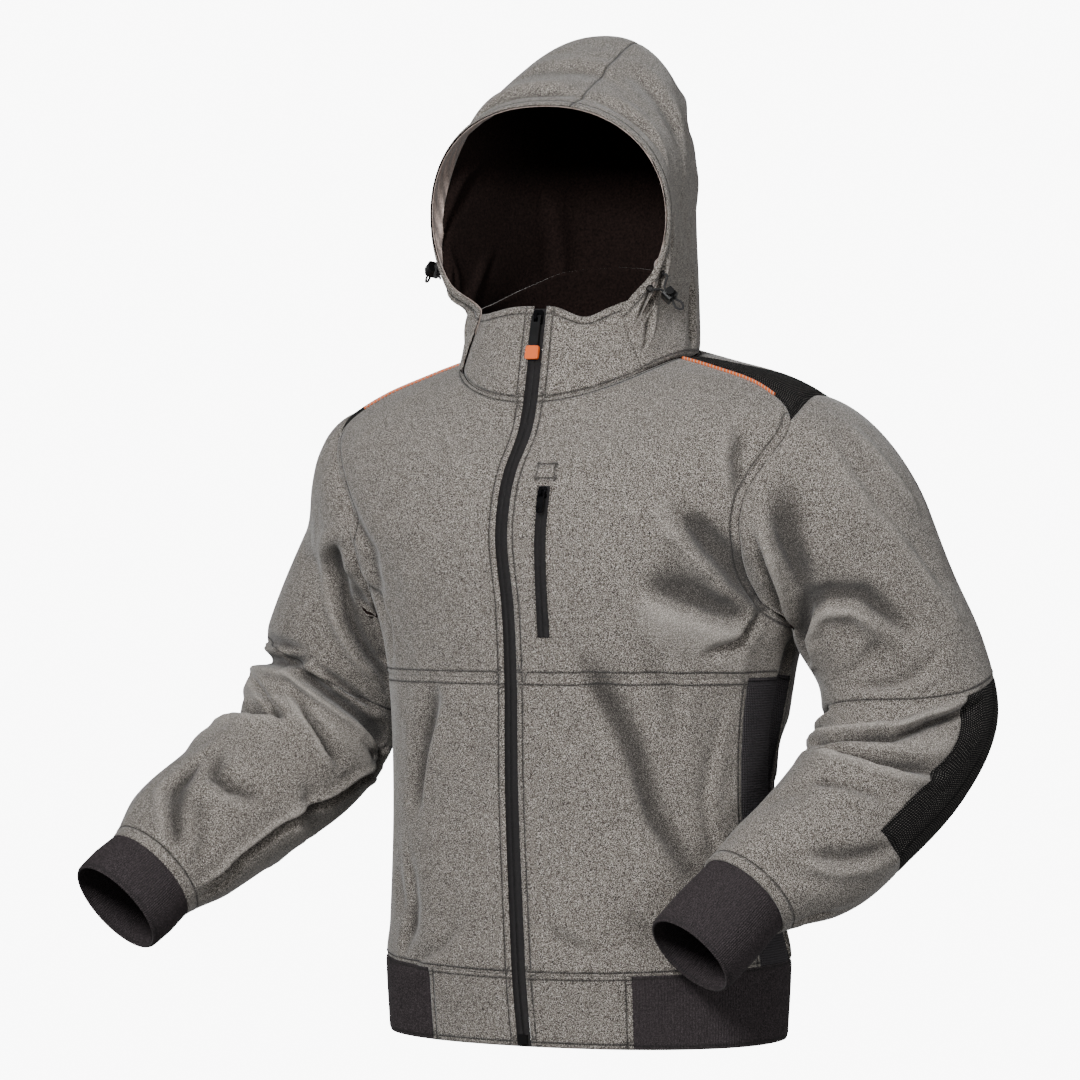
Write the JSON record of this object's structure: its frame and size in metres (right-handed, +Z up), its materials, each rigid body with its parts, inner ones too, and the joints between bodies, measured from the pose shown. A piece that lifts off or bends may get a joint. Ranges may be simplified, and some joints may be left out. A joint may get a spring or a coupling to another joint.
{
  "type": "hooded softshell jacket",
  "caption": "Hooded softshell work jacket with a front zip, chest pocket, contrast yokes and ribbed hem and cuffs, in the shape it keeps when worn.",
  "frame": {"origin": "middle of the neck base, between the wearer's shoulders, where the jacket hangs on them", "axes": "+Z up along the wearer's spine, -Y to the wearer's front, +X to the wearer's left"},
  "size_m": [0.8863, 0.3868, 1.0036],
  "materials": {
    "softshell": "matt grey melange knit face",
    "coarse_weave": "matt black coarse weave",
    "mesh_knit": "matt black mesh knit",
    "rib_knit": "matt charcoal rib knit",
    "facing_cloth": "satin brown-grey tricot",
    "piping": "satin orange with a silver cord",
    "zip_tape": "matt black woven tape with moulded teeth",
    "cord": "satin black elastic cord",
    "black_plastic": "gloss black",
    "black_metal": "gloss black lacquer",
    "eyelet_metal": "gloss black lacquer",
    "orange_rubber": "satin orange"
  },
  "bodies": {
    "jacket": {"front_upper_left": "softshell", "front_upper_right": "softshell", "front_lower_left": "softshell", "front_lower_right": "softshell", "side_panel_left": "mesh_knit", "side_panel_right": "mesh_knit", "back_panel": "softshell", "shoulder_yoke_left": "coarse_weave", "shoulder_yoke_right": "coarse_weave", "yoke_piping_left": "piping", "yoke_piping_right": "piping", "hem_patch_left": "softshell", "hem_patch_right": "softshell", "hem_rib": "rib_knit", "sleeve_upper_left": "softshell", "sleeve_upper_right": "softshell", "sleeve_lower_left": "softshell", "sleeve_lower_right": "softshell", "elbow_patch_left": "coarse_weave", "elbow_patch_right": "coarse_weave", "cuff_left": "rib_knit", "cuff_right": "rib_knit", "collar": "softshell", "hood_left": "softshell", "hood_right": "softshell", "hood_facing": "facing_cloth", "eyelet_front_left": "eyelet_metal", "eyelet_rear_left": "eyelet_metal", "eyelet_front_right": "eyelet_metal", "eyelet_rear_right": "eyelet_metal", "cord_lock_left": "black_plastic", "cord_lock_right": "black_plastic", "cord_lock_button_left": "black_plastic", "cord_lock_button_right": "black_plastic", "hood_cord_left": "cord", "hood_cord_right": "cord", "zip_tape": "zip_tape", "zip_bottom_stop": "black_plastic", "zip_slider": "black_metal", "zip_slider_bridge": "black_metal", "pocket_zip": "zip_tape", "pocket_welt": "softshell", "pocket_slider": "black_metal", "pocket_slider_bridge": "black_metal"},
    "main_pull": {"zip_pull": "black_plastic", "zip_pull_tip": "orange_rubber"},
    "chest_pull": {"pocket_pull": "black_metal"}
  },
  "joints": [
    {"name": "main_pull_swing", "type": "hinge", "parent": "jacket", "child": "main_pull", "pos_m": [-0.00087, -0.09996, 0.0393], "axis": [-1, 0, 0], "range_deg": [0, 150]},
    {"name": "chest_pull_swing", "type": "hinge", "parent": "jacket", "child": "chest_pull", "pos_m": [0.03728, -0.16782, -0.13342], "axis": [-0.9992, -0.0406, 0], "range_deg": [0, 150]}
  ]
}
